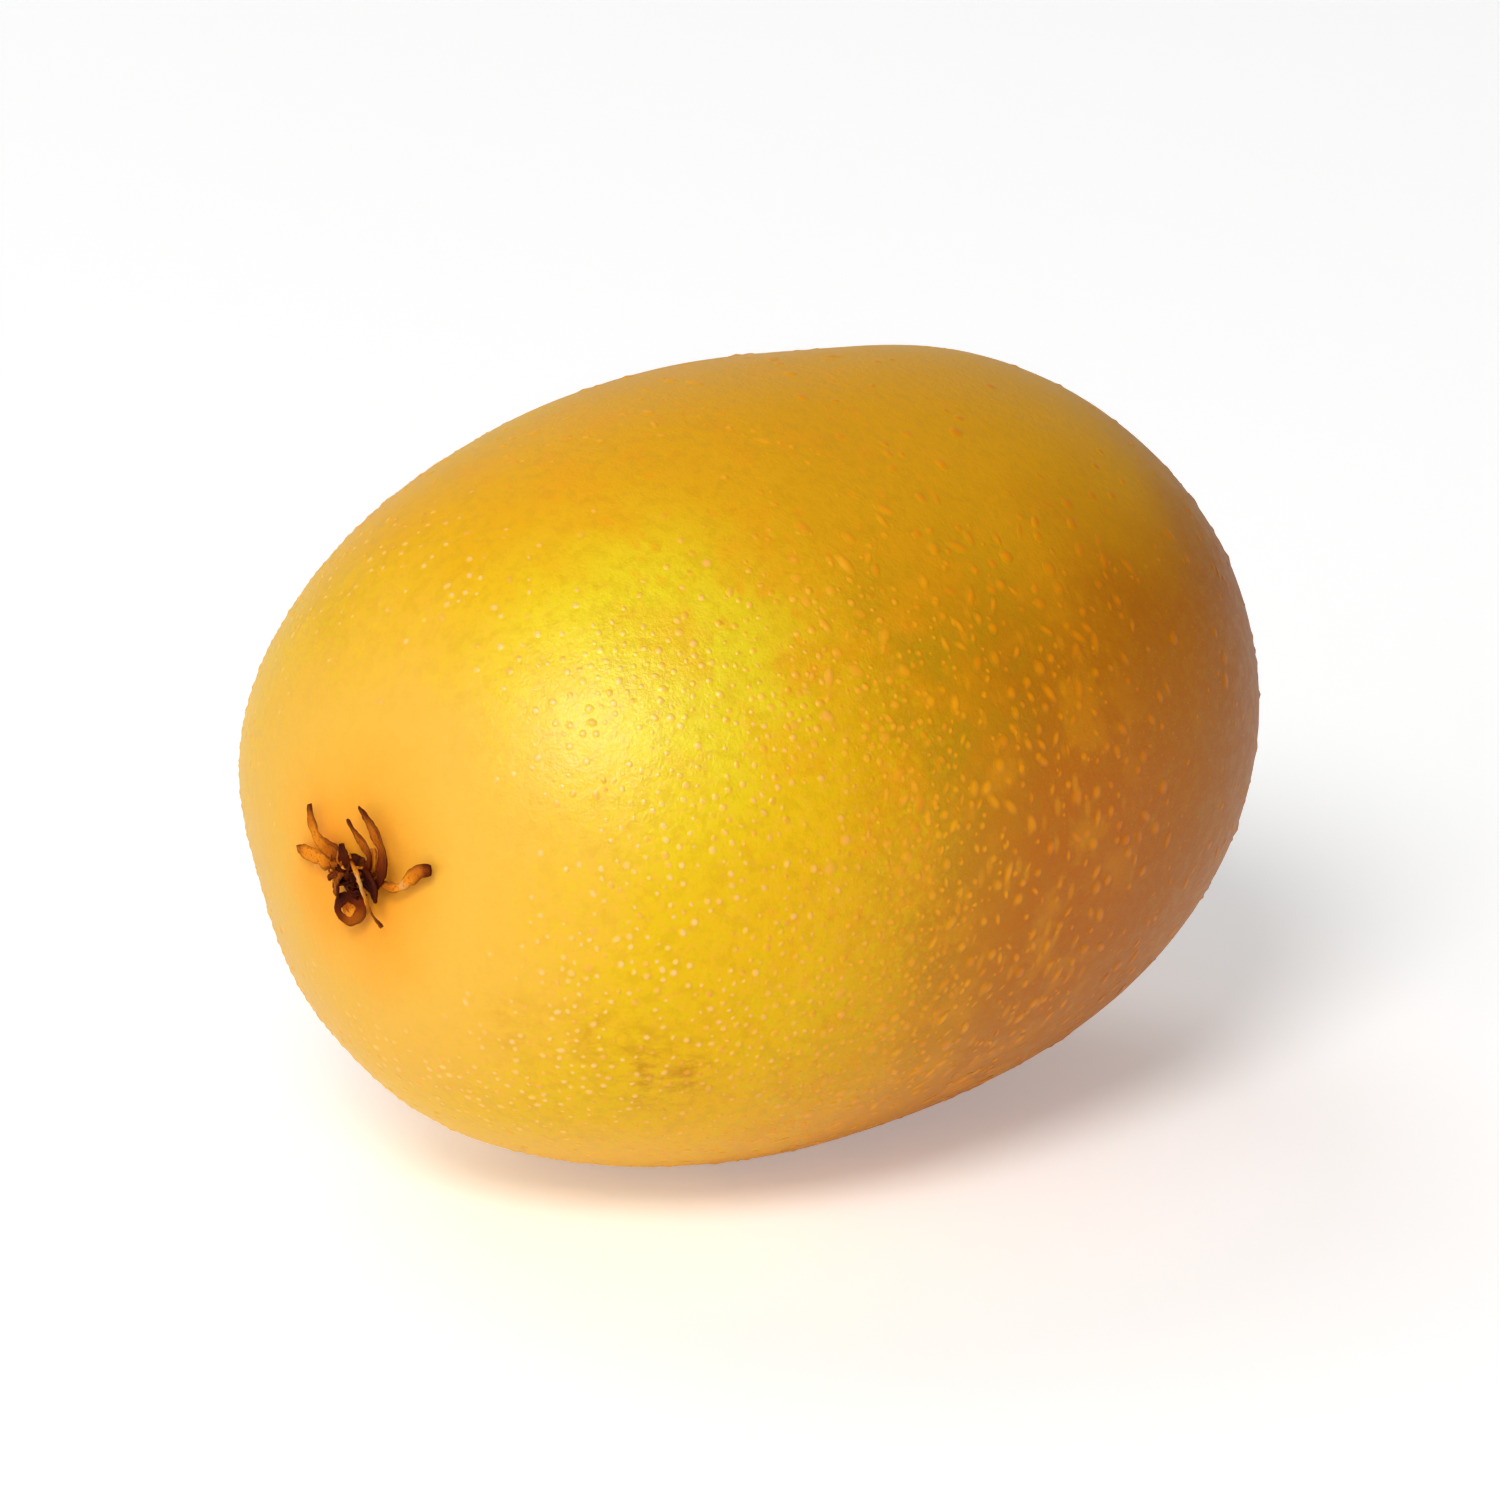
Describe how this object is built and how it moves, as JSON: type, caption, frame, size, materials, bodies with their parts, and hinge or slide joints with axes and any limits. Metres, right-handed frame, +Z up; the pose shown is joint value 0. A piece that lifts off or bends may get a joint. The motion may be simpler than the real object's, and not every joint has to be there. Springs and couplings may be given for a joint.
{
  "type": "golden kiwi fruit",
  "caption": "Whole oval golden kiwi fruit lying on its side, with a tuft of dried styles at the blossom end and a corky stalk scar at the other.",
  "frame": {"origin": "middle of the whole fruit's box, on the surface that it rests on", "axes": "+Z up, the fruit's long axis along X, blossom end with the dried tuft at -X, stem end at +X"},
  "size_m": [0.0728, 0.0522, 0.0495],
  "materials": {
    "golden_skin": "smooth thin skin, satin, ochre gold with raised orange-brown lenticels",
    "dried_style": "dry, fibrous, matte dark brown",
    "stem_cork": "dry corky, matte brown"
  },
  "bodies": {
    "root": {"fruit_body": "golden_skin", "dried_style_tuft": "dried_style", "stem_scar": "stem_cork"}
  },
  "joints": []
}
